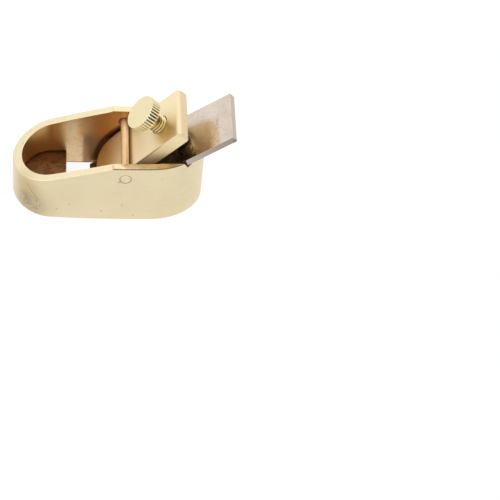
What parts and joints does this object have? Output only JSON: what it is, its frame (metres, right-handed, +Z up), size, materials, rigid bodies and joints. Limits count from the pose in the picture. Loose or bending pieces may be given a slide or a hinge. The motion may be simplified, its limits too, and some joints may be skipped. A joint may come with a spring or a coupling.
{
  "type": "finger plane",
  "caption": "Small brass boat-shaped finger plane with a steel blade, a lever cap under a cross pin and a knurled thumbscrew.",
  "frame": {"origin": "on the flat sole, at half the length of the body and on its middle line", "axes": "+X from the toe to the heel, +Y to the right as the plane is pushed toe first, which is the far side in the picture, +Z up from the sole"},
  "size_m": [0.055, 0.0218, 0.0305],
  "materials": {
    "body_brass": "satin, brushed along the sides",
    "pin_brass": "satin, a little redder",
    "blade_steel": "ground, with faint stains",
    "cap_brass": "satin",
    "screw_brass": "turned, dark in the knurl"
  },
  "bodies": {
    "plane_body": {"body": "body_brass", "cross_pin": "pin_brass"},
    "blade": {"blade": "blade_steel"},
    "lever_cap": {"lever_cap": "cap_brass"},
    "thumbscrew_shank": {"thumbscrew_shank": "screw_brass"},
    "thumbscrew_head": {"thumbscrew_head": "screw_brass"}
  },
  "joints": [
    {"name": "blade_slide", "type": "slide", "parent": "plane_body", "child": "blade", "axis": [0.7848, 0, 0.6198], "range_m": [-0.0008, 0.025]},
    {"name": "cap_rock", "type": "hinge", "parent": "plane_body", "child": "lever_cap", "pos_m": [0.00397, 0.00065, 0.01497], "axis": [0, 1, 0], "range_deg": [0, 12.2]},
    {"name": "thumbscrew_travel", "type": "slide", "parent": "lever_cap", "child": "thumbscrew_shank", "axis": [-0.7478, 0, 0.6639], "range_m": [0, 0.0024]},
    {"name": "thumbscrew_turn", "type": "hinge", "parent": "thumbscrew_shank", "child": "thumbscrew_head", "pos_m": [0.01147, 0.00065, 0.02342], "axis": [-0.7478, 0, 0.6639], "range_deg": [0, 1080]}
  ],
  "couplings": [
    {"joint": "thumbscrew_turn", "follows": "thumbscrew_travel", "rad_per_m": 7854},
    {"joint": "cap_rock", "follows": "thumbscrew_travel", "rad_per_m": 88.5}
  ]
}
